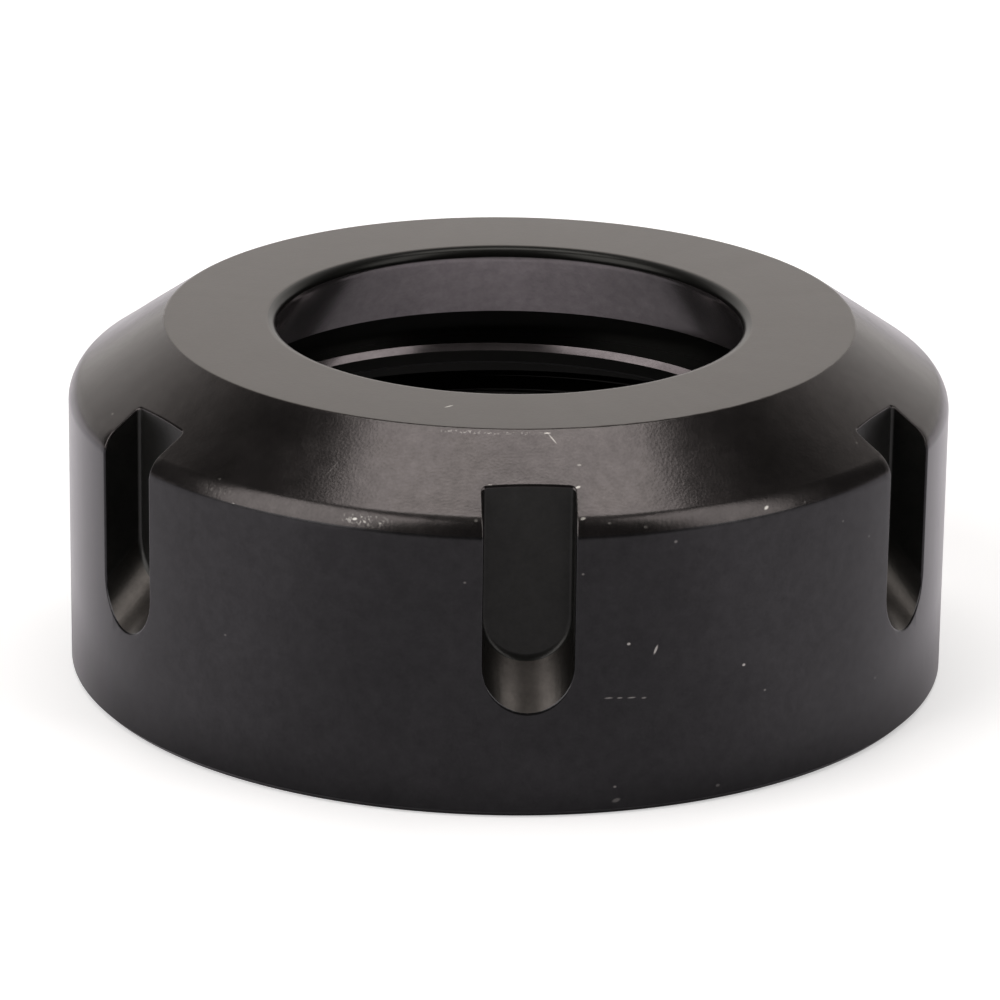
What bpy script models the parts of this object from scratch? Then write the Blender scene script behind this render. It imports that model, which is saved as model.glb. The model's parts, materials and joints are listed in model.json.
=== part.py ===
"""Collet nut: a round clamping nut, turned and milled from one piece of steel.

The nut stands on its threaded rear face. Its axis is +Z, its front face is at the
top, and the origin is on the axis in the plane of the rear face. The fine thread is
left as a plain bore at its crest diameter. All lengths are in metres.
"""

import math

import bmesh
import bpy
from mathutils import Matrix, Vector

MM = 0.001

# Thread and outside
THREAD_DIAMETER = 50.0 * MM
THREAD_PITCH = 1.5 * MM
WALL_THICKNESS = 6.5 * MM          # from the thread's full diameter to the outside
NUT_HEIGHT = 25.5 * MM
REAR_EDGE_CHAMFER = 0.4 * MM

# Front face and the cone that leads down to the outside
FACE_WIDTH = 8.45 * MM             # flat ring, up to the sharp edges it would have
CONE_DROP = 4.75 * MM              # from the front face to the end of the cone
SHOULDER_ROUND = 2.0 * MM
FACE_EDGE_ROUND = 0.25 * MM

# Seat for the collet, and its mouth in the front face
SEAT_HALF_ANGLE = math.radians(30.0)
SEAT_DEPTH = 5.8 * MM              # from the front face to the seat's wide end
SEAT_STEP = 2.25 * MM              # from the seat's wide end out to the groove's wall
MOUTH_ROUND = 0.6 * MM

# Groove behind the seat, and the off-centre lip that pulls the collet out
GROOVE_STEP = 3.2 * MM             # from the thread's full diameter in to the groove
GROOVE_WIDTH = 2.7 * MM
LIP_REACH = 2.15 * MM              # mean distance that the lip stands in from the groove
LIP_THICKNESS = 1.5 * MM
LIP_OFFSET = 0.8 * MM
LIP_LEAD_CHAMFER = 0.45 * MM
LIP_BACK_CHAMFER = 0.2 * MM

# Thread relief and entry
RELIEF_DEPTH = 0.3 * MM            # beyond the thread's full diameter
RELIEF_WIDTH = 2.4 * MM
ENTRY_CHAMFER = 1.2 * MM

# Spanner slots
SLOT_COUNT = 6
SLOT_WIDTH = 6.2 * MM
SLOT_DEPTH = 3.0 * MM
SLOT_FLOOR_LENGTH = 15.0 * MM      # from the front face to the end of the slot's floor
SLOT_RUNOUT_ANGLE = math.radians(45.0)
SLOT_CORNER_ROUND = 0.5 * MM
SLOT_EDGE_ROUND = 0.4 * MM

# How finely round shapes are divided
TURN_STEPS = 96
CORNER_SEGMENTS = 4
SLOT_ARC_SEGMENTS = 16
EDGE_SEGMENTS = 2
CUTTER_OVERRUN = 1.0 * MM          # how far a cutter runs past what it cuts
SAME_PLACE = 0.001 * MM
SHARP_EDGE_ANGLE = math.radians(30.0)

# Places that follow from the sizes above
THREAD_RADIUS = THREAD_DIAMETER / 2
CREST_RADIUS = THREAD_RADIUS - 0.625 * math.cos(math.radians(30.0)) * THREAD_PITCH
OUTER_RADIUS = THREAD_RADIUS + WALL_THICKNESS
RELIEF_RADIUS = THREAD_RADIUS + RELIEF_DEPTH
GROOVE_RADIUS = THREAD_RADIUS - GROOVE_STEP
SEAT_WIDE_RADIUS = GROOVE_RADIUS - SEAT_STEP
MOUTH_RADIUS = SEAT_WIDE_RADIUS - SEAT_DEPTH * math.tan(SEAT_HALF_ANGLE)
FACE_RADIUS = MOUTH_RADIUS + FACE_WIDTH
LIP_RADIUS = GROOVE_RADIUS - LIP_REACH
SEAT_HEIGHT = NUT_HEIGHT - SEAT_DEPTH
LIP_TOP = SEAT_HEIGHT - GROOVE_WIDTH
LIP_BOTTOM = LIP_TOP - LIP_THICKNESS
RELIEF_BOTTOM = LIP_BOTTOM - RELIEF_WIDTH
SLOT_FLOOR_DISTANCE = OUTER_RADIUS - SLOT_DEPTH
SLOT_FLOOR_END = NUT_HEIGHT - SLOT_FLOOR_LENGTH


def clear_objects():
    """Remove every object of the open file."""
    for thing in list(bpy.data.objects):
        bpy.data.objects.remove(thing, do_unlink=True)


def make_collection(name):
    """Add an empty collection to the scene."""
    collection = bpy.data.collections.new(name)
    bpy.context.scene.collection.children.link(collection)
    return collection


def blackened_steel():
    """Steel with a dark, satin oxide finish."""
    material = bpy.data.materials.new("blackened_steel")
    material.use_nodes = True
    shader = material.node_tree.nodes["Principled BSDF"]
    shader.inputs["Base Color"].default_value = (0.035, 0.033, 0.034, 1.0)
    shader.inputs["Metallic"].default_value = 0.9
    shader.inputs["Roughness"].default_value = 0.38
    return material


def rounded_corner(before, corner, after, radius):
    """Points of the arc that rounds one corner between two straight runs."""
    to_before = (Vector(before) - Vector(corner)).normalized()
    to_after = (Vector(after) - Vector(corner)).normalized()
    half_angle = to_before.angle(to_after) / 2
    middle = (to_before + to_after).normalized()
    centre = Vector(corner) + middle * radius / math.sin(half_angle)
    start = Vector(corner) + to_before * radius / math.tan(half_angle) - centre
    end = Vector(corner) + to_after * radius / math.tan(half_angle) - centre
    sweep = start.angle_signed(end)
    points = []
    for step in range(CORNER_SEGMENTS + 1):
        turned = start.copy()
        turned.rotate(Matrix.Rotation(-sweep * step / CORNER_SEGMENTS, 2))
        points.append(tuple(centre + turned))
    return points


def body_profile():
    """Half section of the nut as (radius, height), down the outside and up the bore."""
    mouth = (MOUTH_RADIUS, NUT_HEIGHT)
    face_edge = (FACE_RADIUS, NUT_HEIGHT)
    shoulder = (OUTER_RADIUS, NUT_HEIGHT - CONE_DROP)
    seat_end = (SEAT_WIDE_RADIUS, SEAT_HEIGHT)
    lip_stock_radius = LIP_RADIUS - LIP_OFFSET - CUTTER_OVERRUN
    relief_rise = RELIEF_RADIUS - CREST_RADIUS
    points = rounded_corner(mouth, face_edge, shoulder, FACE_EDGE_ROUND)
    points += rounded_corner(face_edge, shoulder, (OUTER_RADIUS, 0.0), SHOULDER_ROUND)
    points += [
        (OUTER_RADIUS, REAR_EDGE_CHAMFER),
        (OUTER_RADIUS - REAR_EDGE_CHAMFER, 0.0),
        (CREST_RADIUS + ENTRY_CHAMFER, 0.0),
        (CREST_RADIUS, ENTRY_CHAMFER),
        (CREST_RADIUS, RELIEF_BOTTOM - relief_rise),
        (RELIEF_RADIUS, RELIEF_BOTTOM),
        (RELIEF_RADIUS, LIP_BOTTOM),
        (lip_stock_radius, LIP_BOTTOM),
        (lip_stock_radius, LIP_TOP),
        (GROOVE_RADIUS, LIP_TOP),
        (GROOVE_RADIUS, SEAT_HEIGHT),
        seat_end,
    ]
    points += rounded_corner(seat_end, mouth, face_edge, MOUTH_ROUND)
    return points


def lip_bore_profile():
    """Half section of the cutter that bores the lip, with a chamfer at each end."""
    lead_radius = LIP_RADIUS + LIP_LEAD_CHAMFER
    back_radius = LIP_RADIUS + LIP_BACK_CHAMFER
    return [
        (0.0, LIP_TOP + CUTTER_OVERRUN),
        (lead_radius, LIP_TOP + CUTTER_OVERRUN),
        (lead_radius, LIP_TOP),
        (LIP_RADIUS, LIP_TOP - LIP_LEAD_CHAMFER),
        (LIP_RADIUS, LIP_BOTTOM + LIP_BACK_CHAMFER),
        (back_radius, LIP_BOTTOM),
        (back_radius, LIP_BOTTOM - CUTTER_OVERRUN),
        (0.0, LIP_BOTTOM - CUTTER_OVERRUN),
    ]


def turned_object(name, profile, closed, collection):
    """Turn a half section about Z."""
    mesh = bpy.data.meshes.new(name)
    count = len(profile)
    edges = [(index, index + 1) for index in range(count - 1)]
    if closed:
        edges.append((count - 1, 0))
    mesh.from_pydata([(radius, 0.0, height) for radius, height in profile], edges, [])
    turned = bpy.data.objects.new(name, mesh)
    collection.objects.link(turned)
    screw = turned.modifiers.new("turn", "SCREW")
    screw.axis = "Z"
    screw.angle = math.tau
    screw.steps = TURN_STEPS
    screw.render_steps = TURN_STEPS
    screw.use_merge_vertices = True
    screw.merge_threshold = SAME_PLACE
    return turned


def slot_outline(shape):
    """Draw a slot's floor: straight sides and a half-round end, filled as one face."""
    bmesh.ops.create_circle(shape, segments=2 * SLOT_ARC_SEGMENTS, radius=SLOT_WIDTH / 2)
    upper = [vertex for vertex in shape.verts if vertex.co.y > SAME_PLACE]
    bmesh.ops.delete(shape, geom=upper, context="VERTS")
    ends = [vertex for vertex in shape.verts if abs(vertex.co.y) < SAME_PLACE]
    raised = bmesh.ops.extrude_vert_indiv(shape, verts=ends)["verts"]
    side_length = SLOT_FLOOR_LENGTH + 2 * SLOT_DEPTH + 2 * CUTTER_OVERRUN
    bmesh.ops.translate(shape, verts=raised, vec=(0.0, side_length, 0.0))
    shape.edges.new(raised)
    return bmesh.ops.edgeloop_fill(shape, edges=list(shape.edges))["faces"][0]


def slot_cutter(index, collection):
    """One slot's cutter: the floor's outline, swept outwards and down at the run-out."""
    shape = bmesh.new()
    floor = slot_outline(shape)
    top_height = max(vertex.co.y for vertex in floor.verts)
    swept = bmesh.ops.extrude_face_region(shape, geom=[floor])["geom"]
    moved = [item for item in swept if isinstance(item, bmesh.types.BMVert)]
    reach = SLOT_DEPTH + CUTTER_OVERRUN
    drop = reach * math.tan(SLOT_RUNOUT_ANGLE)
    bmesh.ops.translate(shape, verts=moved, vec=(0.0, -drop, reach))
    shape.verts.ensure_lookup_table()
    floor_edges = [
        edge for edge in shape.edges
        if all(abs(vertex.co.z) < SAME_PLACE for vertex in edge.verts)
        and min(vertex.co.y for vertex in edge.verts) < top_height - SAME_PLACE
    ]
    bmesh.ops.bevel(
        shape, geom=floor_edges, offset=SLOT_CORNER_ROUND, segments=EDGE_SEGMENTS + 1,
        profile=0.5, affect="EDGES", material=-1,
    )
    bmesh.ops.recalc_face_normals(shape, faces=list(shape.faces))
    stand_up = Matrix.Rotation(math.radians(90.0), 4, "X")
    place = Matrix.Translation((0.0, -SLOT_FLOOR_DISTANCE, SLOT_FLOOR_END + SLOT_WIDTH / 2))
    turn = Matrix.Rotation(math.tau * index / SLOT_COUNT, 4, "Z")
    bmesh.ops.transform(shape, matrix=turn @ place @ stand_up, verts=list(shape.verts))
    mesh = bpy.data.meshes.new("slot_cutter")
    shape.to_mesh(mesh)
    shape.free()
    cutter = bpy.data.objects.new(f"slot_cutter_{index + 1}", mesh)
    collection.objects.link(cutter)
    return cutter


def cut(target, cutter):
    """Take one cutter's shape out of a body."""
    cutter.hide_render = True
    cutter.display_type = "WIRE"
    boolean = target.modifiers.new(cutter.name, "BOOLEAN")
    boolean.operation = "DIFFERENCE"
    boolean.solver = "EXACT"
    boolean.object = cutter


def is_slot_rim(edge):
    """Say whether an edge lies where a slot's wall meets the outside."""
    middle = (edge.verts[0].co + edge.verts[1].co) / 2
    beyond_floor = math.hypot(middle.x, middle.y) > SLOT_FLOOR_DISTANCE + SLOT_CORNER_ROUND
    above_rear = middle.z > REAR_EDGE_CHAMFER + SAME_PLACE
    return beyond_floor and above_rear and edge.calc_face_angle(0.0) > SHARP_EDGE_ANGLE


def round_slot_rims(nut):
    """Fix the cuts in the nut's mesh, then round the edges where the slots come out."""
    graph = bpy.context.evaluated_depsgraph_get()
    cut_mesh = bpy.data.meshes.new_from_object(nut.evaluated_get(graph))
    nut.modifiers.clear()
    nut.data = cut_mesh
    shape = bmesh.new()
    shape.from_mesh(cut_mesh)
    bmesh.ops.remove_doubles(shape, verts=list(shape.verts), dist=SAME_PLACE)
    rims = [edge for edge in shape.edges if is_slot_rim(edge)]
    bmesh.ops.bevel(
        shape, geom=rims, offset=SLOT_EDGE_ROUND, segments=EDGE_SEGMENTS,
        profile=0.5, affect="EDGES", material=-1, clamp_overlap=True,
    )
    shape.to_mesh(cut_mesh)
    shape.free()


def build_nut():
    """Turn the body, bore the lip off centre and mill the slots."""
    parts = make_collection("collet_nut")
    cutters = make_collection("cutters")
    nut = turned_object("collet_nut", body_profile(), True, parts)
    lip_bore = turned_object("lip_bore", lip_bore_profile(), False, cutters)
    lip_bore.location.x = -LIP_OFFSET
    cut(nut, lip_bore)
    for index in range(SLOT_COUNT):
        cut(nut, slot_cutter(index, cutters))
    bpy.context.view_layer.update()
    round_slot_rims(nut)
    nut.data.materials.append(blackened_steel())
    nut.data.shade_smooth()
    nut.data.set_sharp_from_angle(angle=SHARP_EDGE_ANGLE)


clear_objects()
build_nut()
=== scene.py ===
"""Looks of a round slotted clamping nut for spring collets, in blackened steel.

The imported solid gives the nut's place and overall size. This script puts a finer mesh of
the same form in its stead, with the real helical thread, and gives each machined surface
its own finish. All lengths are in metres and all angles in radians.
"""

import json
import logging
import math
from collections.abc import Sequence
from dataclasses import dataclass, replace
from enum import Enum
from typing import Any

import bmesh
import bpy
from mathutils import Matrix, Vector

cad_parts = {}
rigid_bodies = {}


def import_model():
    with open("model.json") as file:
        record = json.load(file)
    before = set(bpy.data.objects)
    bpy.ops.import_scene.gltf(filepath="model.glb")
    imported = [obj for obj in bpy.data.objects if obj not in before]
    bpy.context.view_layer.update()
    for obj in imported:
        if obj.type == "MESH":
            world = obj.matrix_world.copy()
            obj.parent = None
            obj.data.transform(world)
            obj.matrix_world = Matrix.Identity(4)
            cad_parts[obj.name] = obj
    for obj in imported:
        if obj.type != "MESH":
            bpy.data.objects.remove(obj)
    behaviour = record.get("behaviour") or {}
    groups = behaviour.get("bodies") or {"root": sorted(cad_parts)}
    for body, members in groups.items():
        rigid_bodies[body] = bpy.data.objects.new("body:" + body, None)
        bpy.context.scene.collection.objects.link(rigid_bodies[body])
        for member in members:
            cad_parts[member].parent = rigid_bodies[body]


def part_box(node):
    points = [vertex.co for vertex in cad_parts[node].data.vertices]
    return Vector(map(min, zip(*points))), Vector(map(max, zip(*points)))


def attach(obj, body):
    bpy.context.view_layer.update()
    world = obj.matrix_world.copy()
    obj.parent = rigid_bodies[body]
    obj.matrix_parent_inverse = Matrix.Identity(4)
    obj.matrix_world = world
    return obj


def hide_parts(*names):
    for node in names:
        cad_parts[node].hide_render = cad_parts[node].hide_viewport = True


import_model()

MM = 0.001
SAME_PLACE = 0.001 * MM
CAD_NODE = "collet_nut"
BODY = "root"

# Places of the colour sockets on a Mix node, whose names repeat for each data type
MIX_FIRST_COLOUR = 6
MIX_SECOND_COLOUR = 7
MIX_COLOUR_RESULT = 2

Colour = tuple[float, float, float]
# Where a fade is 0 and where it is 1
Span = tuple[float, float]

log = logging.getLogger("clamping_nut")


class Signal:
    """A socket of a shader, with arithmetic that adds Math nodes to its graph."""

    def __init__(self, graph: "Graph", socket: bpy.types.NodeSocket) -> None:
        """Wrap one output socket of a graph."""
        self.graph = graph
        self.socket = socket

    def __add__(self, other: "Signal | float") -> "Signal":
        """Return self + other."""
        return self.graph.math("ADD", self, other)

    def __radd__(self, other: float) -> "Signal":
        """Return other + self."""
        return self.graph.math("ADD", other, self)

    def __sub__(self, other: "Signal | float") -> "Signal":
        """Return self - other."""
        return self.graph.math("SUBTRACT", self, other)

    def __rsub__(self, other: float) -> "Signal":
        """Return other - self."""
        return self.graph.math("SUBTRACT", other, self)

    def __mul__(self, other: "Signal | float") -> "Signal":
        """Return self * other."""
        return self.graph.math("MULTIPLY", self, other)

    def __rmul__(self, other: float) -> "Signal":
        """Return other * self."""
        return self.graph.math("MULTIPLY", other, self)

    def __truediv__(self, other: "Signal | float") -> "Signal":
        """Return self / other."""
        return self.graph.math("DIVIDE", self, other)

    def __rtruediv__(self, other: float) -> "Signal":
        """Return other / self."""
        return self.graph.math("DIVIDE", other, self)


class Graph:
    """The node tree of one material or world."""

    def __init__(self, tree: bpy.types.NodeTree) -> None:
        """Start an empty graph, without the tree's default nodes."""
        self.tree = tree
        tree.nodes.clear()

    def add(
        self,
        kind: str,
        settings: dict[str, Any] | None = None,
        inputs: dict[str | int, Any] | None = None,
    ) -> bpy.types.Node:
        """Add one node, set it up, then feed its sockets.

        Args:
            kind: The node's type name.
            settings: Properties of the node.
            inputs: Values or signals, by the name or number of their sockets.

        Returns:
            The new node.
        """
        node = self.tree.nodes.new(kind)
        for name, value in (settings or {}).items():
            setattr(node, name, value)
        for key, value in (inputs or {}).items():
            if isinstance(value, Signal):
                self.tree.links.new(value.socket, node.inputs[key])
            else:
                node.inputs[key].default_value = value
        return node

    def out(self, node: bpy.types.Node, key: str | int = 0) -> Signal:
        """Wrap one output of a node."""
        return Signal(self, node.outputs[key])

    def math(self, operation: str, *values: Signal | float) -> Signal:
        """Add a Math node."""
        inputs = dict(enumerate(values))
        return self.out(self.add("ShaderNodeMath", {"operation": operation}, inputs))

    def value(
        self, kind: str, inputs: dict[str | int, Any] | None = None, key: str | int = 0
    ) -> Signal:
        """Add a node without settings, and wrap one of its outputs."""
        return self.out(self.add(kind, None, inputs), key)

    def axis_distance(self, place: Signal) -> tuple[Signal, Signal, Signal, Signal]:
        """Split a place into its distance from the axis and its coordinates.

        Args:
            place: Object coordinates.

        Returns:
            The distance from the axis, then x, y and z.
        """
        parts = self.add("ShaderNodeSeparateXYZ", None, {0: place})
        east = self.out(parts, 0)
        north = self.out(parts, 1)
        up = self.out(parts, 2)
        return self.math("SQRT", east * east + north * north), east, north, up

    def fade(self, value: Signal, start: float, end: float) -> Signal:
        """Rise smoothly from 0 to 1 as a value goes from start to end.

        Args:
            value: The value.
            start: Where the result is 0.
            end: Where the result is 1.

        Returns:
            The result.
        """
        inputs = {"Value": value, "From Min": start, "From Max": end}
        settings = {"interpolation_type": "SMOOTHSTEP"}
        return self.out(self.add("ShaderNodeMapRange", settings, inputs))

    def mix(self, share: Signal, first: Any, second: Any) -> Signal:
        """Mix two colours.

        Args:
            share: How much of the second colour shows.
            first: A colour of four numbers, or a signal.
            second: A colour of four numbers, or a signal.

        Returns:
            The mixed colour.
        """
        inputs = {0: share, MIX_FIRST_COLOUR: first, MIX_SECOND_COLOUR: second}
        node = self.add("ShaderNodeMix", {"data_type": "RGBA"}, inputs)
        return self.out(node, MIX_COLOUR_RESULT)

    def noise(self, place: Signal, size: float, detail: float = 2.0) -> Signal:
        """Add smooth noise from 0 to 1, with spots of a size and finer layers of detail."""
        inputs = {"Vector": place, "Scale": 1.0 / size, "Detail": detail}
        return self.out(self.add("ShaderNodeTexNoise", None, inputs), "Fac")


def opaque(colour: Colour, share: float = 1.0) -> tuple[float, ...]:
    """Scale a colour and give it full cover."""
    return tuple(part * share for part in colour) + (1.0,)


class Zone(Enum):
    """The nut's machined surfaces. Each value is the number of its material.

    The shoulder is the round between the cone and the cylinder, and the seat takes in the
    lip's upward lead chamfer: its glint is real, and the seat's brighter steel on it is a painted
    highlight.
    """

    OUTSIDE = 0
    CONE = 1
    SHOULDER = 2
    FRONT_FACE = 3
    SEAT = 4
    BORE = 5
    SLOT = 6
    RUNOUT = 7


@dataclass(frozen=True)
class Finish:
    """What one machined surface looks like.

    Tint is the metal's reflectance straight on. Marks are the fine lines that the tool
    leaves around the axis, grain is the fine speckle of the oxide, and waves are the slow
    unevenness of a hand-broken surface. Depths are those of the relief. The spread is how
    much the roughness wanders, and clouding how much the tint does. The painted wall shade
    is painted shade: how much darker a slot's run-out is painted beside its walls.
    """

    tint: Colour
    metallic: float
    roughness: float
    roughness_spread: float
    clouding: float
    mark_width: float
    mark_depth: float
    grain_size: float
    grain_depth: float
    wave_depth: float = 0.0
    painted_wall_shade: float = 0.0


@dataclass(frozen=True)
class Nick:
    """A small dent or scratch that shows bare steel.

    Azimuth is in degrees, from the slot at -Y towards +X. Reach is the height on the
    outside, and the distance from the axis on the other surfaces. Along is the length in
    the direction that slant turns away from level, across is the width, and shine is how
    much steel shows. A speckled one is a patch where the oxide is rubbed off in specks.
    """

    zone: Zone
    azimuth: float
    reach: float
    along: float
    across: float
    slant: float
    shine: float
    speckled: bool


CONE_FINISH = Finish(
    tint=(0.055, 0.050, 0.049), metallic=0.95, roughness=0.20, roughness_spread=0.06,
    clouding=0.55, mark_width=0.14 * MM, mark_depth=0.0010 * MM,
    grain_size=0.20 * MM, grain_depth=0.0062 * MM, wave_depth=0.018 * MM,
)

FINISHES = {
    Zone.OUTSIDE: Finish(
        tint=(0.0350, 0.0345, 0.0358), metallic=0.9, roughness=0.21, roughness_spread=0.03,
        clouding=0.50, mark_width=0.10 * MM, mark_depth=0.00015 * MM,
        grain_size=0.22 * MM, grain_depth=0.0003 * MM,
    ),
    Zone.CONE: CONE_FINISH,
    Zone.SHOULDER: replace(CONE_FINISH, tint=(0.057, 0.052, 0.051), roughness=0.225),
    Zone.FRONT_FACE: Finish(
        tint=(0.050, 0.043, 0.038), metallic=0.9, roughness=0.30, roughness_spread=0.03,
        clouding=0.30, mark_width=0.09 * MM, mark_depth=0.0004 * MM,
        grain_size=0.18 * MM, grain_depth=0.0040 * MM,
    ),
    Zone.SEAT: Finish(
        tint=(0.230, 0.210, 0.214), metallic=0.9, roughness=0.17, roughness_spread=0.03,
        clouding=0.55, mark_width=0.08 * MM, mark_depth=0.0002 * MM,
        grain_size=0.25 * MM, grain_depth=0.0003 * MM,
    ),
    Zone.BORE: Finish(
        tint=(0.015, 0.015, 0.0135), metallic=0.80, roughness=0.30, roughness_spread=0.04,
        clouding=0.20, mark_width=0.10 * MM, mark_depth=0.0004 * MM,
        grain_size=0.22 * MM, grain_depth=0.0005 * MM,
    ),
    Zone.SLOT: Finish(
        tint=(0.021, 0.021, 0.0195), metallic=0.65, roughness=0.32, roughness_spread=0.04,
        clouding=0.60, mark_width=0.16 * MM, mark_depth=0.0003 * MM,
        grain_size=0.22 * MM, grain_depth=0.0008 * MM,
    ),
    Zone.RUNOUT: Finish(
        tint=(0.074, 0.067, 0.061), metallic=0.8, roughness=0.38, roughness_spread=0.05,
        clouding=0.60, mark_width=0.16 * MM, mark_depth=0.0020 * MM,
        # The last value darkens the run-out beside the slot's walls as painted shade
        grain_size=0.24 * MM, grain_depth=0.0080 * MM, painted_wall_shade=0.75,
    ),
}


def nicks_on(zone: Zone, speckled: bool, *rows: tuple[float, ...]) -> list[Nick]:
    """List nicks of one surface.

    Args:
        zone: The surface.
        speckled: Whether the oxide is rubbed off in specks.
        rows: Azimuth in degrees, then reach, along and across in millimetres, slant in
            degrees, and shine.

    Returns:
        The nicks.
    """
    return [
        Nick(zone, azimuth, reach * MM, along * MM, across * MM, slant, shine, speckled)
        for azimuth, reach, along, across, slant, shine in rows
    ]


NICKS = [
    # A scratch on the front face
    *nicks_on(
        Zone.FRONT_FACE, False,
        (-14.3, 20.5, 0.75, 0.15, 52.0, 0.85),
    ),
    # Scratches and chips on the cone
    *nicks_on(
        Zone.CONE, False,
        (3.9, 25.35, 1.00, 0.12, -60.0, 0.20),
        (3.2, 24.95, 0.50, 0.12, 0.0, 0.35),
        (7.3, 27.2, 0.30, 0.20, 0.0, 0.12),
        (-69.8, 30.0, 0.25, 0.20, 0.0, 0.25),
        (51.8, 29.4, 0.22, 0.18, 0.0, 0.20),
        (-5.2, 28.5, 0.30, 0.16, 0.0, 0.12),
        (6.6, 28.7, 0.40, 0.20, 20.0, 0.25),
        (-27.4, 28.4, 1.60, 0.09, 72.0, 0.08),
    ),
    # The cone's rubbed upper edge
    *nicks_on(
        Zone.CONE, True,
        (-9.0, 24.95, 5.0, 0.30, 0.0, 0.11),
        (-1.0, 24.95, 4.0, 0.30, 0.0, 0.11),
    ),
    # Rubbed patches along the shoulder
    *nicks_on(
        Zone.SHOULDER, True,
        (-42.5, 31.20, 3.2, 1.0, 0.0, 0.09),
        (-20.5, 31.25, 3.6, 0.9, 0.0, 0.20),
    ),
    # Chips along the shoulder
    *nicks_on(
        Zone.SHOULDER, False,
        (-42.3, 30.70, 0.30, 0.18, 0.0, 0.25),
        (-38.9, 31.45, 0.25, 0.18, 0.0, 0.25),
        (-21.9, 31.25, 0.36, 0.20, 10.0, 0.45),
        (-20.6, 31.30, 0.30, 0.16, -30.0, 0.25),
        (-18.6, 31.30, 0.26, 0.16, 0.0, 0.25),
        (-15.8, 31.49, 0.36, 0.20, 0.0, 0.30),
        (-6.7, 30.9, 0.26, 0.22, 0.0, 0.45),
        (6.6, 30.8, 0.40, 0.24, 15.0, 0.80),
        (9.9, 31.1, 0.26, 0.18, 0.0, 0.35),
        (14.4, 31.33, 0.28, 0.20, 0.0, 0.35),
        (31.1, 31.30, 0.42, 0.24, 20.0, 0.50),
        (37.1, 31.40, 0.24, 0.18, 0.0, 0.15),
    ),
    # Specks and dashes on the cylinder
    *nicks_on(
        Zone.OUTSIDE, False,
        (-7.9, 16.9, 0.22, 0.16, 0.0, 0.20),
        (18.2, 19.3, 0.26, 0.22, 0.0, 0.22),
        (6.5, 17.5, 0.20, 0.16, 0.0, 0.25),
        (12.4, 12.3, 0.26, 0.20, 0.0, 0.75),
        (15.9, 11.7, 0.70, 0.18, 68.0, 0.75),
        (28.1, 9.6, 0.26, 0.20, 0.0, 0.65),
        (10.0, 8.5, 0.60, 0.13, 0.0, 0.30),
        (11.4, 8.45, 0.40, 0.11, 0.0, 0.35),
        (12.9, 8.4, 0.60, 0.11, 0.0, 0.35),
        (14.5, 8.3, 0.36, 0.13, 0.0, 0.30),
        (52.0, 5.3, 0.24, 0.16, 0.0, 0.12),
        (31.4, 7.4, 0.22, 0.16, 0.0, 0.20),
        (11.0, 2.0, 0.24, 0.18, 0.0, 0.30),
        (11.2, 1.0, 0.60, 0.30, 15.0, 0.22),
        (24.8, 1.1, 0.34, 0.22, 0.0, 0.18),
        (49.4, 16.2, 0.18, 0.16, 0.0, 0.12),
        (43.9, 18.1, 0.18, 0.16, 0.0, 0.12),
        (-40.2, 10.5, 0.22, 0.16, 0.0, 0.12),
    ),
]

# Steel where a nick has gone through the oxide, and how deep it goes
BARE_STEEL: Colour = (0.62, 0.60, 0.56)
NICK_DEPTH = 0.010 * MM
# A nick's edge, in half sizes from its middle
NICK_EDGE: Span = (1.25, 0.5)
# Painted shade beside a slot's walls: its colour, and where it comes up, from the slot's middle
PAINTED_SHADE_COLOUR: Colour = (0.008, 0.008, 0.007)
PAINTED_SHADE_RISE: Span = (0.9 * MM, 3.0 * MM)
# Half the turn from one slot to the next
HALF_SLOT_TURN = math.radians(30.0)
# Sizes of the spots of noise, and the level at which the specks of a patch come up
CLOUD_SIZE = 3.0 * MM
MOTTLE_SIZE = 0.8 * MM
WAVE_SIZE = 2.6 * MM
SPECK_SIZE = 0.18 * MM
SPECK_RISE: Span = (0.52, 0.66)
# How much each noise counts in the tint, and in how the roughness wanders
CLOUD_TINT = 0.3
MOTTLE_TINT = 0.4
GRAIN_TINT = 0.3
CLOUD_WANDER = 1.4
MARKS_WANDER = 0.6
NOISE_MIDDLE = 0.5


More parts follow.
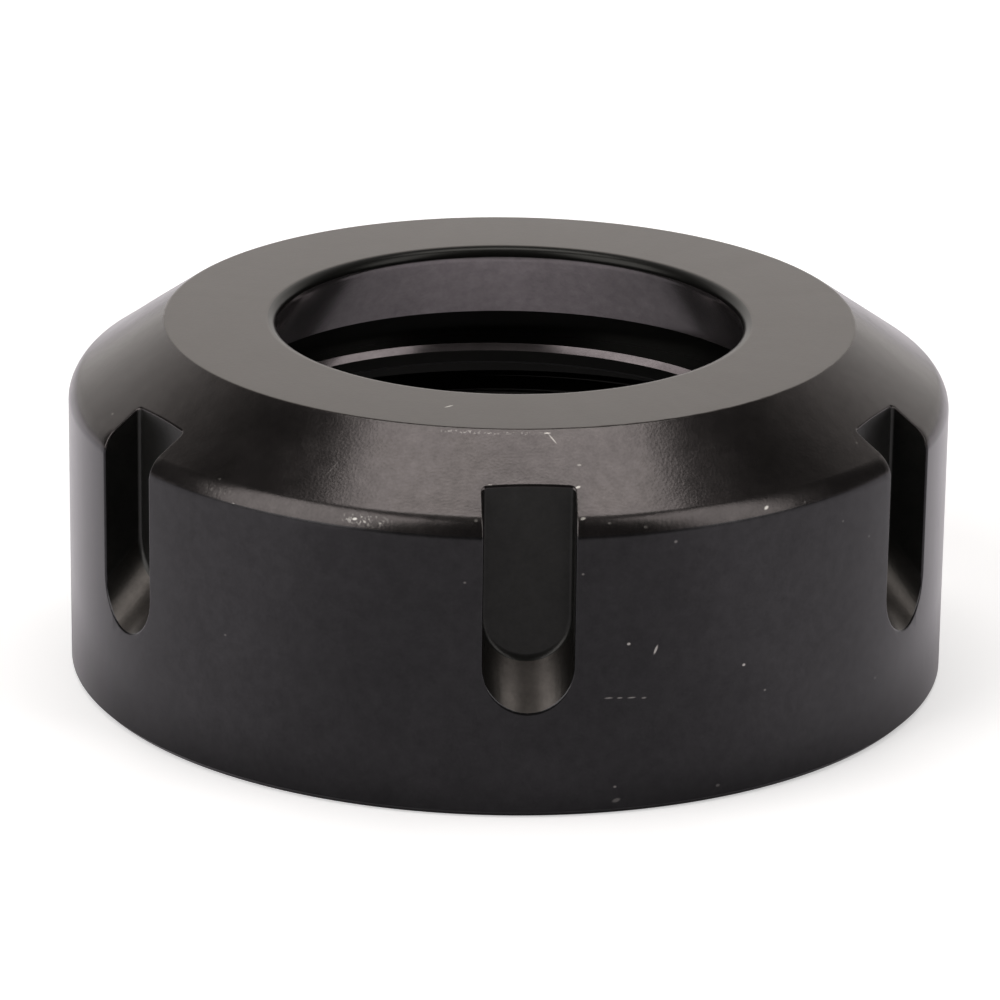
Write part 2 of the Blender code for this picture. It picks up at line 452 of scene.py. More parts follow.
class MachinedSteel:
    """Blackened steel with one finish, and the nicks of one surface."""

    def __init__(self, name: str, finish: Finish, nicks: Sequence[tuple[Nick, Matrix]]) -> None:
        """Start the material.

        Args:
            name: The material's name.
            finish: What the surface looks like.
            nicks: The nicks that lie on it, each with its own axes: X along it, Y into
                the steel and Z across.
        """
        self.finish = finish
        self.nicks = nicks
        self.material = bpy.data.materials.new(name)
        self.material.use_nodes = True
        self.graph = Graph(self.material.node_tree)
        self.place = self.graph.value("ShaderNodeTexCoord", key="Object")

    def build(self) -> bpy.types.Material:
        """Make the material's nodes.

        Returns:
            The finished material.
        """
        cloud = self.graph.noise(self.place, CLOUD_SIZE, detail=3.0)
        mottle = self.graph.noise(self.place, MOTTLE_SIZE)
        grain = self.graph.noise(self.place, self.finish.grain_size)
        marks = self.tool_marks()
        bared = self.nick_mask()
        inputs = {
            "Base Color": self.colour(cloud, mottle, grain, bared),
            "Metallic": self.finish.metallic,
            "Roughness": self.roughness(cloud, marks),
            "Normal": self.relief(marks, grain, bared),
        }
        steel = self.graph.value("ShaderNodeBsdfPrincipled", inputs)
        self.graph.add("ShaderNodeOutputMaterial", None, {"Surface": steel})
        return self.material

    def tool_marks(self) -> Signal:
        """Draw fine lines around the axis, as a turning tool leaves them.

        Returns:
            The lines' height, from 0 to 1.
        """
        radius, east, north, up = self.graph.axis_distance(self.place)
        arc_stretch = 0.3 * MM
        inputs = {0: east / radius * arc_stretch, 1: north / radius * arc_stretch, 2: radius + up}
        lines = self.graph.value("ShaderNodeCombineXYZ", inputs)
        return self.graph.noise(lines, self.finish.mark_width)

    def nick_mask(self) -> Signal | None:
        """Mark where the nicks are.

        Returns:
            Up to 1 in a nick and 0 elsewhere, or None where the surface has no nick.
        """
        mask = None
        specks = self.graph.fade(self.graph.noise(self.place, SPECK_SIZE), *SPECK_RISE)
        for nick, axes in self.nicks:
            inputs = {
                "Vector": self.place,
                "Location": axes.translation,
                "Rotation": tuple(axes.to_euler()),
                "Scale": (nick.along / 2, nick.across, nick.across / 2),
            }
            local = self.graph.add("ShaderNodeMapping", {"vector_type": "TEXTURE"}, inputs)
            length = self.graph.add(
                "ShaderNodeVectorMath", {"operation": "LENGTH"}, {0: self.graph.out(local)}
            )
            distance = self.graph.out(length, "Value")
            spot = self.graph.fade(distance, *NICK_EDGE) * nick.shine
            if nick.speckled:
                spot = spot * specks
            mask = spot if mask is None else self.graph.math("MAXIMUM", mask, spot)
        return mask

    def colour(self, cloud: Signal, mottle: Signal, grain: Signal, bared: Signal | None) -> Signal:
        """Mix the oxide's colour, clouded and speckled, with painted shade and the nicks' bare
        steel.

        Args:
            cloud: Wide noise.
            mottle: Middling noise.
            grain: Fine noise.
            bared: Where steel shows.

        Returns:
            The colour.
        """
        darker = opaque(self.finish.tint, 1 - self.finish.clouding)
        lighter = opaque(self.finish.tint, 1 + self.finish.clouding)
        shade = cloud * CLOUD_TINT + mottle * MOTTLE_TINT + grain * GRAIN_TINT
        steel = self.graph.mix(shade, darker, lighter)
        # Painted shade: the run-out is darkened towards the slot's walls
        if self.finish.painted_wall_shade:
            steel = self.graph.mix(self.painted_shade_beside_walls() * self.finish.painted_wall_shade, steel, opaque(PAINTED_SHADE_COLOUR))
        if bared is not None:
            steel = self.graph.mix(bared, steel, opaque(BARE_STEEL))
        return steel

    def painted_shade_beside_walls(self) -> Signal:
        """Rise from 0 in a slot's middle to 1 beside its walls, where painted shade darkens the
        run-out.

        Returns:
            The rise.
        """
        radius, east, north, _ = self.graph.axis_distance(self.place)
        azimuth = self.graph.math("ABSOLUTE", self.graph.math("ARCTAN2", east, north))
        off_middle = self.graph.math("PINGPONG", azimuth, HALF_SLOT_TURN) * radius
        return self.graph.fade(off_middle, *PAINTED_SHADE_RISE)

    def roughness(self, cloud: Signal, marks: Signal) -> Signal:
        """Let the roughness wander with the clouds and the tool marks."""
        wander = (cloud - NOISE_MIDDLE) * CLOUD_WANDER + (marks - NOISE_MIDDLE) * MARKS_WANDER
        return wander * self.finish.roughness_spread + self.finish.roughness

    def relief(self, marks: Signal, grain: Signal, bared: Signal | None) -> Signal:
        """Turn waves, marks, grain and nicks into a bumped normal.

        Args:
            marks: The tool marks' height, from 0 to 1.
            grain: The grain's height, from 0 to 1.
            bared: Where the nicks are.

        Returns:
            The normal.
        """
        height = marks * self.finish.mark_depth + grain * self.finish.grain_depth
        if self.finish.wave_depth:
            waves = self.graph.noise(self.place, WAVE_SIZE, detail=1.0)
            height = height + waves * self.finish.wave_depth
        if bared is not None:
            height = height - bared * NICK_DEPTH
        return self.graph.value("ShaderNodeBump", {"Distance": 1.0, "Height": height})


@dataclass(frozen=True)
class Corner:
    """A corner of a half section, and the radius that rounds it."""

    radius: float
    height: float
    rounding: float = 0.0


# How far a face's normal points outwards or upwards on the surfaces that are told apart
BORE_OUTWARD = 0.1
LEVEL_UPWARD = 0.985
SEAT_UPWARD = -0.2
LIP_CHAMFER_UPWARD = 0.5
RUNOUT_UPWARD = 0.2


@dataclass
class ClampingNut:
    """The nut: one piece of steel, turned, bored off centre, threaded and milled."""

    outer_radius: float
    height: float
    # Outside
    rear_edge_chamfer: float = 0.4 * MM
    face_width: float = 8.45 * MM
    cone_drop: float = 4.75 * MM
    shoulder_round: float = 2.0 * MM
    face_edge_round: float = 0.45 * MM
    # Seat
    seat_half_angle: float = math.radians(30.0)
    seat_depth: float = 5.8 * MM
    seat_step: float = 2.25 * MM
    mouth_round: float = 0.76 * MM
    # Groove and lip
    groove_step: float = 3.2 * MM
    groove_width: float = 2.7 * MM
    lip_reach: float = 2.15 * MM
    lip_thickness: float = 1.5 * MM
    lip_offset: float = 0.8 * MM
    lip_lead_chamfer: float = 0.45 * MM
    lip_back_chamfer: float = 0.2 * MM
    # Thread
    wall: float = 6.5 * MM
    thread_pitch: float = 1.5 * MM
    relief_depth: float = 0.3 * MM
    relief_width: float = 2.4 * MM
    entry_chamfer: float = 1.2 * MM
    # Slots
    slot_count: int = 6
    slot_width: float = 6.2 * MM
    slot_depth: float = 3.0 * MM
    slot_floor_length: float = 15.0 * MM
    slot_runout_angle: float = math.radians(45.0)
    slot_corner_round: float = 0.3 * MM
    slot_edge_break: float = 0.22 * MM
    # A face deeper than this below the outside's sharp outline lies in a slot
    slot_face_depth: float = 0.30 * MM
    # Fineness of the mesh
    turn_steps: int = 204
    round_segments: int = 8
    slot_arc_segments: int = 20
    edge_segments: int = 4
    flank_rings: int = 2
    # Points this close are joined before the slots' rims are rounded
    rim_merge: float = 0.08 * MM
    overrun: float = 1.0 * MM
    sharp_angle: float = math.radians(30.0)
    # The shoulder's round up to this slope is as smooth as the outside
    low_shoulder: float = math.radians(12.0)

    @property
    def thread_radius(self) -> float:
        """Radius of the thread's full diameter."""
        return self.outer_radius - self.wall

    @property
    def thread_depth(self) -> float:
        """Depth of the thread's groove, from its flat crest to its full diameter."""
        return 0.625 * math.cos(math.radians(30.0)) * self.thread_pitch

    @property
    def crest_radius(self) -> float:
        """Radius of the thread's crests."""
        return self.thread_radius - self.thread_depth

    @property
    def relief_radius(self) -> float:
        """Radius of the run-out groove above the thread."""
        return self.thread_radius + self.relief_depth

    @property
    def groove_radius(self) -> float:
        """Radius of the groove behind the seat."""
        return self.thread_radius - self.groove_step

    @property
    def seat_wide_radius(self) -> float:
        """Radius of the seat's wide end."""
        return self.groove_radius - self.seat_step

    @property
    def mouth_radius(self) -> float:
        """Radius where the seat's cone would meet the front face."""
        return self.seat_wide_radius - self.seat_depth * math.tan(self.seat_half_angle)

    @property
    def face_radius(self) -> float:
        """Radius of the front face's outer edge, before its round."""
        return self.mouth_radius + self.face_width

    @property
    def lip_radius(self) -> float:
        """Radius of the off-centre bore through the lip."""
        return self.groove_radius - self.lip_reach

    @property
    def lip_stock_radius(self) -> float:
        """Radius that the lip is first turned to, before its off-centre bore."""
        return self.lip_radius - self.lip_offset - self.overrun

    @property
    def seat_height(self) -> float:
        """Height of the seat's wide end."""
        return self.height - self.seat_depth

    @property
    def lip_top(self) -> float:
        """Height of the lip's upper side."""
        return self.seat_height - self.groove_width

    @property
    def lip_bottom(self) -> float:
        """Height of the lip's lower side."""
        return self.lip_top - self.lip_thickness

    @property
    def relief_bottom(self) -> float:
        """Height where the thread runs out."""
        return self.lip_bottom - self.relief_width

    @property
    def slot_floor_distance(self) -> float:
        """Distance from the axis to a slot's flat floor."""
        return self.outer_radius - self.slot_depth

    @property
    def cone_slope(self) -> float:
        """Angle of the front cone below level."""
        return math.atan2(self.cone_drop, self.outer_radius - self.face_radius)

    @property
    def cone_end_radius(self) -> float:
        """Radius where the cone runs into the shoulder's round."""
        return self.outer_radius - self.shoulder_round * (1 - math.sin(self.cone_slope))

    @property
    def shoulder_edge(self) -> float:
        """Height where the shoulder's round runs into the cylinder."""
        cone_line = self.cone_height(self.outer_radius - self.shoulder_round)
        return cone_line - self.shoulder_round / math.cos(self.cone_slope)

    def cone_height(self, radius: float) -> float:
        """Height of the front cone at a radius."""
        return self.height - (radius - self.face_radius) * math.tan(self.cone_slope)

    def top_surface(self, radius: float) -> tuple[float, float]:
        """Find the cone's or the shoulder's surface at a radius.

        Args:
            radius: Distance from the axis.

        Returns:
            The surface's height, and how far its normal rises above level.
        """
        if radius < self.cone_end_radius:
            return self.cone_height(radius), math.radians(90.0) - self.cone_slope
        middle_radius = self.outer_radius - self.shoulder_round
        rise = math.acos((radius - middle_radius) / self.shoulder_round)
        return self.shoulder_edge + self.shoulder_round * math.sin(rise), rise

    def nick_axes(self, nick: Nick) -> Matrix:
        """Find a nick's own axes: X along it, Y into the steel and Z across.

        Args:
            nick: The nick.

        Returns:
            The axes' place and turn.
        """
        radius, height, rise = nick.reach, self.height, math.radians(90.0)
        if nick.zone is Zone.OUTSIDE:
            radius, height, rise = self.outer_radius, nick.reach, 0.0
        elif nick.zone in (Zone.CONE, Zone.SHOULDER):
            height, rise = self.top_surface(nick.reach)
        around = Matrix.Rotation(math.radians(nick.azimuth), 4, "Z")
        outwards = Matrix.Translation((0.0, -radius, height))
        tilted = Matrix.Rotation(-rise, 4, "X")
        slanted = Matrix.Rotation(-math.radians(nick.slant), 4, "Y")
        return around @ outwards @ tilted @ slanted

    def between(self, start: float, end: float) -> list[float]:
        """Space the extra rings of a long straight flank evenly between its two ends."""
        step = (end - start) / (self.flank_rings + 1)
        return [start + step * (index + 1) for index in range(self.flank_rings)]

    def body_section(self) -> list[Corner]:
        """List the corners of the nut's half section, down the outside and up the bore."""
        relief_rise = self.relief_radius - self.crest_radius
        cone_start = self.face_radius + self.face_edge_round
        cone_radii = self.between(cone_start, self.cone_end_radius)
        heights = self.between(self.shoulder_edge, self.rear_edge_chamfer)
        return [
            Corner(self.face_radius, self.height, self.face_edge_round),
            *[Corner(radius, self.cone_height(radius)) for radius in cone_radii],
            Corner(self.outer_radius, self.height - self.cone_drop, self.shoulder_round),
            *[Corner(self.outer_radius, height) for height in heights],
            Corner(self.outer_radius, self.rear_edge_chamfer),
            Corner(self.outer_radius - self.rear_edge_chamfer, 0.0),
            Corner(self.crest_radius + self.entry_chamfer, 0.0),
            Corner(self.crest_radius, self.entry_chamfer),
            Corner(self.crest_radius, self.relief_bottom - relief_rise),
            Corner(self.relief_radius, self.relief_bottom),
            Corner(self.relief_radius, self.lip_bottom),
            Corner(self.lip_stock_radius, self.lip_bottom),
            Corner(self.lip_stock_radius, self.lip_top),
            Corner(self.groove_radius, self.lip_top),
            Corner(self.groove_radius, self.seat_height),
            Corner(self.seat_wide_radius, self.seat_height),
            Corner(self.mouth_radius, self.height, self.mouth_round),
        ]

    def lip_bore_section(self) -> list[Corner]:
        """List the corners of the ring that the off-centre bore takes out of the lip."""
        inner_radius = self.lip_stock_radius - self.lip_offset - self.overrun
        lead_radius = self.lip_radius + self.lip_lead_chamfer
        back_radius = self.lip_radius + self.lip_back_chamfer
        return [
            Corner(lead_radius, self.lip_top + self.overrun),
            Corner(lead_radius, self.lip_top),
            Corner(self.lip_radius, self.lip_top - self.lip_lead_chamfer),
            Corner(self.lip_radius, self.lip_bottom + self.lip_back_chamfer),
            Corner(back_radius, self.lip_bottom),
            Corner(back_radius, self.lip_bottom - self.overrun),
            Corner(inner_radius, self.lip_bottom - self.overrun),
            Corner(inner_radius, self.lip_top + self.overrun),
        ]

    def thread_section(self, start_height: float) -> list[Corner]:
        """List the corners of the thread's groove, widened a little past its crest.

        Args:
            start_height: Height of the groove's middle where the cut starts.

        Returns:
            The groove's corners.
        """
        root_half = self.thread_pitch / 16
        past_crest = 0.2 * MM
        inner_radius = self.crest_radius - past_crest
        inner_half = root_half + (self.thread_depth + past_crest) * math.tan(math.radians(30.0))
        return [
            Corner(inner_radius, start_height - inner_half),
            Corner(self.thread_radius, start_height - root_half),
            Corner(self.thread_radius, start_height + root_half),
            Corner(inner_radius, start_height + inner_half),
        ]

    def draw_section(self, shape: bmesh.types.BMesh, corners: Sequence[Corner]) -> None:
        """Draw a half section in the XZ plane as one face, and round its corners.

        Args:
            shape: The mesh to draw in.
            corners: The section's corners, in order.
        """
        points = [shape.verts.new((corner.radius, 0.0, corner.height)) for corner in corners]
        shape.faces.new(points)
        for corner, point in zip(corners, points):
            if corner.rounding:
                half_angle = point.link_loops[0].calc_angle() / 2
                bmesh.ops.bevel(
                    shape, geom=[point], offset=corner.rounding / math.tan(half_angle),
                    offset_type="OFFSET", segments=self.round_segments, profile=0.5,
                    affect="VERTICES", material=-1,
                )

    def turned(self, corners: Sequence[Corner]) -> bmesh.types.BMesh:
        """Turn a closed half section into a ring.

        Args:
            corners: The section's corners.

        Returns:
            The closed ring.
        """
        shape = bmesh.new()
        self.draw_section(shape, corners)
        bmesh.ops.delete(shape, geom=list(shape.faces), context="FACES_ONLY")
        bmesh.ops.spin(
            shape, geom=list(shape.verts) + list(shape.edges), axis=(0.0, 0.0, 1.0),
            cent=(0.0, 0.0, 0.0), angle=math.tau, steps=self.turn_steps, use_merge=True,
        )
        bmesh.ops.remove_doubles(shape, verts=list(shape.verts), dist=SAME_PLACE)
        bmesh.ops.recalc_face_normals(shape, faces=list(shape.faces))
        return shape

    def thread_cutter(self) -> bmesh.types.BMesh:
        """Sweep the thread's groove along its right-hand helix.

        Returns:
            The closed helical cutter.
        """
        start_height = -self.overrun
        end_height = (self.relief_bottom + self.lip_bottom) / 2
        turns = (end_height - start_height) / self.thread_pitch
        steps = round(turns * self.turn_steps)
        shape = bmesh.new()
        self.draw_section(shape, self.thread_section(start_height))
        bmesh.ops.spin(
            shape, geom=list(shape.verts) + list(shape.edges) + list(shape.faces),
            axis=(0.0, 0.0, 1.0), cent=(0.0, 0.0, 0.0), angle=math.tau * steps / self.turn_steps,
            dvec=(0.0, 0.0, self.thread_pitch / self.turn_steps), steps=steps,
        )
        bmesh.ops.recalc_face_normals(shape, faces=list(shape.faces))
        return shape

    def slot_cutter(self, index: int) -> bmesh.types.BMesh:
        """Sweep a slot's floor outwards, and down at its run-out.

        Args:
            index: The slot's number, counted from the one at -Y.

        Returns:
            The closed cutter.
        """
        shape = bmesh.new()
        half_width = self.slot_width / 2
        bmesh.ops.create_circle(shape, segments=2 * self.slot_arc_segments, radius=half_width)
        upper = [point for point in shape.verts if point.co.y > SAME_PLACE]
        bmesh.ops.delete(shape, geom=upper, context="VERTS")
        ends = [point for point in shape.verts if abs(point.co.y) < SAME_PLACE]
        raised = bmesh.ops.extrude_vert_indiv(shape, verts=ends)["verts"]
        side_length = self.slot_floor_length + 2 * self.slot_depth + 2 * self.overrun
        bmesh.ops.translate(shape, verts=raised, vec=(0.0, side_length, 0.0))
        shape.edges.new(raised)
        floor = bmesh.ops.edgeloop_fill(shape, edges=list(shape.edges))["faces"][0]
        swept = bmesh.ops.extrude_face_region(shape, geom=[floor])["geom"]
        moved = [item for item in swept if isinstance(item, bmesh.types.BMVert)]
        reach = self.slot_depth + self.overrun
        drop = reach * math.tan(self.slot_runout_angle)
        bmesh.ops.translate(shape, verts=moved, vec=(0.0, -drop, reach))
        floor_edges = [
            edge for edge in shape.edges
            if all(abs(point.co.z) < SAME_PLACE for point in edge.verts)
            and min(point.co.y for point in edge.verts) < side_length - SAME_PLACE
        ]
        bmesh.ops.bevel(
            shape, geom=floor_edges, offset=self.slot_corner_round, segments=self.edge_segments,
            profile=0.5, affect="EDGES", material=-1,
        )
        bmesh.ops.recalc_face_normals(shape, faces=list(shape.faces))
        stand_up = Matrix.Rotation(math.radians(90.0), 4, "X")
        arc_height = self.height - self.slot_floor_length + half_width
        place = Matrix.Translation((0.0, -self.slot_floor_distance, arc_height))
        turn = Matrix.Rotation(math.tau * index / self.slot_count, 4, "Z")
        bmesh.ops.transform(shape, matrix=turn @ place @ stand_up, verts=list(shape.verts))
        return shape

    def cut(self, piece: bpy.types.Object, shape: bmesh.types.BMesh) -> None:
        """Take a shape out of a piece, for good.

        Args:
            piece: The piece that is cut.
            shape: The closed cutter, which is used up.
        """
        cutter = object_from(shape, "cutter")
        boolean = piece.modifiers.new("cut", "BOOLEAN")
        boolean.operation = "DIFFERENCE"
        boolean.solver = "EXACT"
        boolean.object = cutter
        graph = bpy.context.evaluated_depsgraph_get()
        result = bpy.data.meshes.new_from_object(piece.evaluated_get(graph))
        piece.modifiers.clear()
        piece.data = result
        bpy.data.objects.remove(cutter, do_unlink=True)

    def is_slot_rim(self, edge: bmesh.types.BMEdge) -> bool:
        """Say whether an edge lies where a slot comes out of the nut."""
        middle = (edge.verts[0].co + edge.verts[1].co) / 2
        beyond_face = middle.xy.length > self.face_radius + self.overrun
        above_rear = middle.z > self.rear_edge_chamfer + SAME_PLACE
        return beyond_face and above_rear and edge.calc_face_angle(0.0) > self.sharp_angle

    def round_slot_rims(self, piece: bpy.types.Object) -> None:
        """Round the edges where the slots come out of the nut."""
        shape = bmesh.new()
        shape.from_mesh(piece.data)
        bmesh.ops.remove_doubles(shape, verts=list(shape.verts), dist=self.rim_merge)
        rims = [edge for edge in shape.edges if self.is_slot_rim(edge)]
        bmesh.ops.bevel(
            shape, geom=rims, offset=self.slot_edge_break, offset_type="WIDTH",
            segments=self.edge_segments, profile=0.5, affect="EDGES", material=-1,
            clamp_overlap=False,
        )
        shape.to_mesh(piece.data)
        shape.free()

    def zone_of(self, middle: Vector, normal: Vector) -> Zone:
        """Tell which machined surface a face belongs to.

        Args:
            middle: The face's middle.
            normal: The face's normal.

        Returns:
            The surface.
        """
        radius = middle.xy.length
        faces_axis = middle.xy.normalized().dot(normal.xy) < BORE_OUTWARD
        near_bore = faces_axis and radius < self.relief_radius + self.overrun
        if near_bore and normal.z < LEVEL_UPWARD:
            on_seat = middle.z > self.seat_height and normal.z < SEAT_UPWARD
            on_chamfer = self.lip_top - self.lip_lead_chamfer < middle.z < self.lip_top
            # The lip's upward lead chamfer gets the seat's bright steel: a painted highlight over
            # its real glint
            bright = on_seat or (on_chamfer and normal.z > LIP_CHAMFER_UPWARD)
            return Zone.SEAT if bright else Zone.BORE
        if radius < self.face_radius and middle.z > self.height - self.face_edge_round:
            return Zone.FRONT_FACE
        if faces_axis and radius < self.relief_radius:
            return Zone.BORE
        depth = min(self.outer_radius - radius, self.cone_height(radius) - middle.z)
        if depth > self.slot_face_depth and middle.z > self.overrun:
            slot_turn = math.tau / self.slot_count
            azimuth = math.atan2(middle.x, -middle.y)
            off_slot = azimuth - round(azimuth / slot_turn) * slot_turn
            above_floor = radius * math.cos(off_slot) - self.slot_floor_distance
            sloping = above_floor > self.slot_corner_round and normal.z > RUNOUT_UPWARD
            return Zone.RUNOUT if sloping else Zone.SLOT
        if middle.z < self.shoulder_edge + self.shoulder_round * math.sin(self.low_shoulder):
            return Zone.OUTSIDE
        return Zone.CONE if radius < self.cone_end_radius else Zone.SHOULDER

    def build(self, finishes: dict[Zone, Finish], nicks: Sequence[Nick]) -> bpy.types.Object:
        """Machine the nut and dress it.

        Args:
            finishes: The finish of each surface.
            nicks: All the nicks.

        Returns:
            The finished piece.
        """
        piece = object_from(self.turned(self.body_section()), "clamping_nut")
        log.info("turned body: %d faces", len(piece.data.polygons))
        lip_bore = self.turned(self.lip_bore_section())
        bmesh.ops.translate(lip_bore, verts=list(lip_bore.verts), vec=(-self.lip_offset, 0.0, 0.0))
        self.cut(piece, lip_bore)
        for index in range(self.slot_count):
            self.cut(piece, self.slot_cutter(index))
        log.info("bored lip and milled slots: %d faces", len(piece.data.polygons))
        self.round_slot_rims(piece)
        self.cut(piece, self.thread_cutter())
        log.info("cut thread: %d faces", len(piece.data.polygons))
        self.dress(piece, finishes, nicks)
        return piece

    def dress(
        self,
        piece: bpy.types.Object,
        finishes: dict[Zone, Finish],
        nicks: Sequence[Nick],
    ) -> None:
        """Give each face its surface's material, and smooth the shading.

        Args:
            piece: The nut.
            finishes: The finish of each surface.
            nicks: All the nicks.
        """
        mesh = piece.data
        mesh.materials.clear()
        for zone in Zone:
            name = f"steel_{zone.name.lower()}"
            placed = [(nick, self.nick_axes(nick)) for nick in nicks if nick.zone is zone]
            mesh.materials.append(MachinedSteel(name, finishes[zone], placed).build())
        for face in mesh.polygons:
            face.material_index = self.zone_of(face.center, face.normal).value
        mesh.shade_smooth()
        mesh.set_sharp_from_angle(angle=self.sharp_angle)
        weighted = piece.modifiers.new("even_shading", "WEIGHTED_NORMAL")
        weighted.mode = "FACE_AREA"
        weighted.keep_sharp = True


def object_from(shape: bmesh.types.BMesh, name: str) -> bpy.types.Object:
    """Make an object of a shape, which is used up.

    Args:
        shape: The shape.
        name: The object's name.

    Returns:
        The new object, linked to the scene.
    """
    mesh = bpy.data.meshes.new(name)
    shape.to_mesh(mesh)
    shape.free()
    thing = bpy.data.objects.new(name, mesh)
    bpy.context.scene.collection.objects.link(thing)
    return thing


# The energy of an area light of one square metre whose face has level 1
LAMP_WATTS_PER_LEVEL = math.pi
LAMP_TINT: Colour = (1.0, 0.97, 0.96)


def hang_light(name: str, width: float, height: float, level: float, place: Matrix) -> None:
    """Hang a rectangular light.

    Args:
        name: Its name.
        width: The width of its face.
        height: The height of its face.
        level: The brightness of its face, where 1 is white.
        place: Its place and turn.
    """
    data = bpy.data.lights.new(name, "AREA")
    data.shape = "RECTANGLE"
    data.size = width
    data.size_y = height
    data.color = LAMP_TINT
    data.energy = level * LAMP_WATTS_PER_LEVEL * width * height
    light = bpy.data.objects.new(name, data)
    light.matrix_world = place
    bpy.context.scene.collection.objects.link(light)


@dataclass(frozen=True)
class Softbox:
    """A rectangular light that looks at the nut.

    Azimuth is counted from behind the nut, as the camera sees it, to the right. Level is
    the brightness of its face, where 1 is white.
    """

    name: str
    azimuth: float
    elevation: float
    distance: float
    width: float
    height: float
    level: float

    def place(self, turn: Matrix) -> None:
        """Hang the light.

        Args:
            turn: The turn from the camera's frame to the nut's.
        """
        around = math.radians(self.azimuth)
        above = math.radians(self.elevation)
        reach = math.cos(above)
        towards = Vector((math.sin(around) * reach, math.cos(around) * reach, math.sin(above)))
        facing = (-towards).to_track_quat("-Z", "Y").to_matrix().to_4x4()
        hung = turn @ Matrix.Translation(towards * self.distance) @ facing
        hang_light(self.name, self.width, self.height, self.level, hung)


SOFTBOXES = [
    Softbox("softbox_left", -122.5, 32.5, 0.9, 0.71, 0.94, 2.55),
    Softbox("softbox_right", 118.5, 32.5, 0.9, 0.44, 0.94, 2.15),
]


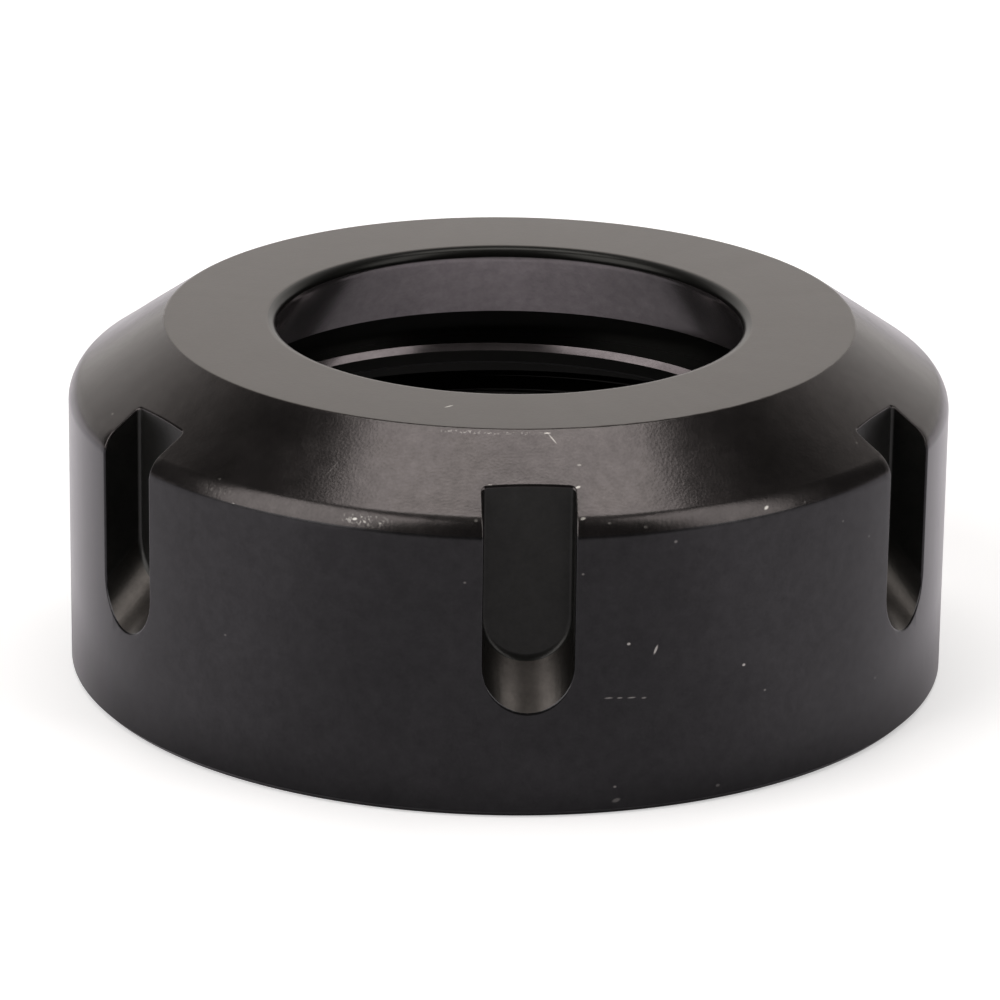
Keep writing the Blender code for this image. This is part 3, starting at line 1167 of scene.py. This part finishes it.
@dataclass
class Studio:
    """Pale floor, soft lights, backdrop and camera, in the photograph's viewing angle."""

    turn_angle: float = math.radians(-2.87)
    camera_distance: float = 418.06 * MM
    camera_elevation: float = math.radians(21.13)
    camera_yaw: float = math.radians(-0.077)
    camera_pitch: float = math.radians(-19.632)
    camera_roll: float = math.radians(0.744)
    camera_lens_mm: float = 206.4
    floor_radius: float = 4.0
    floor_sides: int = 96
    floor_gap: float = 0.02 * MM
    floor_tone: float = 0.82
    floor_lift: float = 0.42
    floor_mirror_tint: Colour = (1.0, 0.97, 1.02)
    floor_mirror_glow: float = 0.22
    floor_glow_rise: Span = (0.0315, 0.040)
    floor_front_share: float = 0.6
    floor_front_rise: Span = (0.55, 0.96)
    floor_bore_glow: float = 0.20
    floor_bore_rise: Span = (0.030, 0.020)
    floor_white_rise: Span = (0.12, 0.60)
    overhead_height: float = 1.0
    overhead_width: float = 0.77
    overhead_depth: float = 0.42
    overhead_shift: float = 0.15
    overhead_level: float = 3.5
    backdrop_level: float = 1.15
    backdrop_tint: Colour = (1.0, 0.955, 0.92)
    surround_level: float = 0.07
    ceiling_level: float = 0.35
    # Fades of the painted room, in degrees of azimuth from behind the nut or of elevation
    backdrop_middle: Span = (26.0, 6.0)
    backdrop_middle_share: float = 0.3
    backdrop_sides: Span = (64.0, 46.0)
    backdrop_top: Span = (56.0, 18.0)
    ceiling_rise: Span = (55.0, 85.0)

    @property
    def turn(self) -> Matrix:
        """The turn from the camera's frame, where it looks along +Y, to the nut's."""
        return Matrix.Rotation(self.turn_angle, 4, "Z")

    def build(self) -> None:
        """Set up the whole studio."""
        self.place_camera()
        self.hang_overhead()
        for softbox in SOFTBOXES:
            softbox.place(self.turn)
        self.lay_floor()
        self.paint_surroundings()
        bpy.context.scene.view_settings.view_transform = "Standard"
        log.info("studio: camera, %d softboxes, floor and backdrop", len(SOFTBOXES) + 1)

    def place_camera(self) -> None:
        """Put the camera where the photograph was taken from."""
        data = bpy.data.cameras.new("camera")
        data.lens = self.camera_lens_mm
        data.clip_start = 0.01
        camera = bpy.data.objects.new("camera", data)
        reach = self.camera_distance * math.cos(self.camera_elevation)
        rise = self.camera_distance * math.sin(self.camera_elevation)
        stand = Matrix.Translation((0.0, -reach, rise))
        yaw = Matrix.Rotation(-self.camera_yaw, 4, "Z")
        pitch = Matrix.Rotation(math.radians(90.0) + self.camera_pitch, 4, "X")
        roll = Matrix.Rotation(self.camera_roll, 4, "Z")
        camera.matrix_world = self.turn @ stand @ yaw @ pitch @ roll
        bpy.context.scene.collection.objects.link(camera)
        bpy.context.scene.camera = camera

    def hang_overhead(self) -> None:
        """Hang the large light over the nut, mostly behind its middle."""
        place = self.turn @ Matrix.Translation((0.0, self.overhead_shift, self.overhead_height))
        width, depth = self.overhead_width, self.overhead_depth
        hang_light("softbox_overhead", width, depth, self.overhead_level, place)

    def lay_floor(self) -> None:
        """Lay a round pale floor that shows white to the camera and keeps the shadow."""
        shape = bmesh.new()
        bmesh.ops.create_circle(
            shape, cap_ends=True, segments=self.floor_sides, radius=self.floor_radius
        )
        bmesh.ops.translate(shape, verts=list(shape.verts), vec=(0.0, 0.0, -self.floor_gap))
        floor = object_from(shape, "floor")
        material = bpy.data.materials.new("pale_floor")
        material.use_nodes = True
        graph = Graph(material.node_tree)
        place = graph.value("ShaderNodeTexCoord", key="Object")
        radius, east, north, _ = graph.axis_distance(place)
        forwards = (east * math.sin(self.turn_angle) - north * math.cos(self.turn_angle)) / radius
        grey = opaque((self.floor_tone, self.floor_tone, self.floor_tone))
        paper = graph.value("ShaderNodeBsdfDiffuse", {"Color": grey})
        # What the camera sees: the lit paper, lifted to white, and plain white far away
        lift = graph.value("ShaderNodeEmission", {"Strength": self.floor_lift})
        lifted = graph.value("ShaderNodeAddShader", {0: paper, 1: lift})
        white = graph.value("ShaderNodeEmission", {"Strength": 1.0})
        far = graph.fade(radius, *self.floor_white_rise)
        shown = graph.value("ShaderNodeMixShader", {0: far, 1: lifted, 2: white})
        # What the steel mirrors: dimmer in front of the nut, and lighter inside its bore
        in_front = graph.fade(forwards, *self.floor_front_rise)
        tinted = opaque(self.floor_mirror_tint, self.floor_tone)
        dimmed = opaque(self.floor_mirror_tint, self.floor_tone * self.floor_front_share)
        colour = graph.mix(in_front, tinted, dimmed)
        sheen = graph.value("ShaderNodeBsdfDiffuse", {"Color": colour})
        near_edge = graph.fade(radius, *self.floor_glow_rise)
        spread = (1 - in_front * (1 - self.floor_front_share)) * near_edge * self.floor_mirror_glow
        strength = spread + graph.fade(radius, *self.floor_bore_rise) * self.floor_bore_glow
        inputs = {"Color": opaque(self.floor_mirror_tint), "Strength": strength}
        glow = graph.value("ShaderNodeEmission", inputs)
        mirrored = graph.value("ShaderNodeAddShader", {0: sheen, 1: glow})
        ray = graph.add("ShaderNodeLightPath")
        glossy = graph.out(ray, "Is Glossy Ray")
        sharp_ray = graph.math("MAXIMUM", glossy, graph.out(ray, "Is Transmission Ray"))
        unseen = graph.value("ShaderNodeMixShader", {0: sharp_ray, 1: paper, 2: mirrored})
        seen = graph.out(ray, "Is Camera Ray")
        surface = graph.value("ShaderNodeMixShader", {0: seen, 1: unseen, 2: shown})
        graph.add("ShaderNodeOutputMaterial", None, {"Surface": surface})
        floor.data.materials.append(material)

    def paint_surroundings(self) -> None:
        """Paint the room: a bright backdrop behind the nut, and dim walls elsewhere."""
        world = bpy.data.worlds.new("studio")
        world.use_nodes = True
        graph = Graph(world.node_tree)
        way = graph.value("ShaderNodeTexCoord", key="Generated")
        turned = graph.add(
            "ShaderNodeVectorRotate",
            {"rotation_type": "Z_AXIS"},
            {"Vector": way, "Angle": -self.turn_angle},
        )
        parts = graph.add("ShaderNodeSeparateXYZ", None, {0: graph.out(turned)})
        sideways = graph.math("ABSOLUTE", graph.out(parts, 0))
        azimuth = graph.math("DEGREES", graph.math("ARCTAN2", sideways, graph.out(parts, 1)))
        elevation = graph.math("DEGREES", graph.math("ARCSINE", graph.out(parts, 2)))
        middle = graph.fade(azimuth, *self.backdrop_middle) * self.backdrop_middle_share
        sides = graph.fade(azimuth, *self.backdrop_sides)
        low = graph.fade(elevation, *self.backdrop_top)
        backdrop = (middle + (1 - self.backdrop_middle_share)) * sides * low * self.backdrop_level
        ceiling = graph.fade(elevation, *self.ceiling_rise) * self.ceiling_level
        level = backdrop + ceiling + self.surround_level
        inputs = {"Color": opaque(self.backdrop_tint), "Strength": level}
        room = graph.value("ShaderNodeBackground", inputs)
        plain = {"Color": opaque((1.0, 1.0, 1.0)), "Strength": 1.0}
        white = graph.value("ShaderNodeBackground", plain)
        seen = graph.value("ShaderNodeLightPath", key="Is Camera Ray")
        surface = graph.value("ShaderNodeMixShader", {0: seen, 1: room, 2: white})
        graph.add("ShaderNodeOutputWorld", None, {"Surface": surface})
        bpy.context.scene.world = world


def main() -> None:
    """Build the nut and the studio."""
    logging.basicConfig(level=logging.INFO, format="%(name)s: %(message)s")
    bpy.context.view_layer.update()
    low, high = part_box(CAD_NODE)
    nut = ClampingNut(outer_radius=(high.x - low.x) / 2, height=high.z - low.z)
    piece = nut.build(FINISHES, NICKS)
    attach(piece, BODY)
    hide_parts(CAD_NODE)
    Studio().build()


if __name__ == "__main__":
    main()
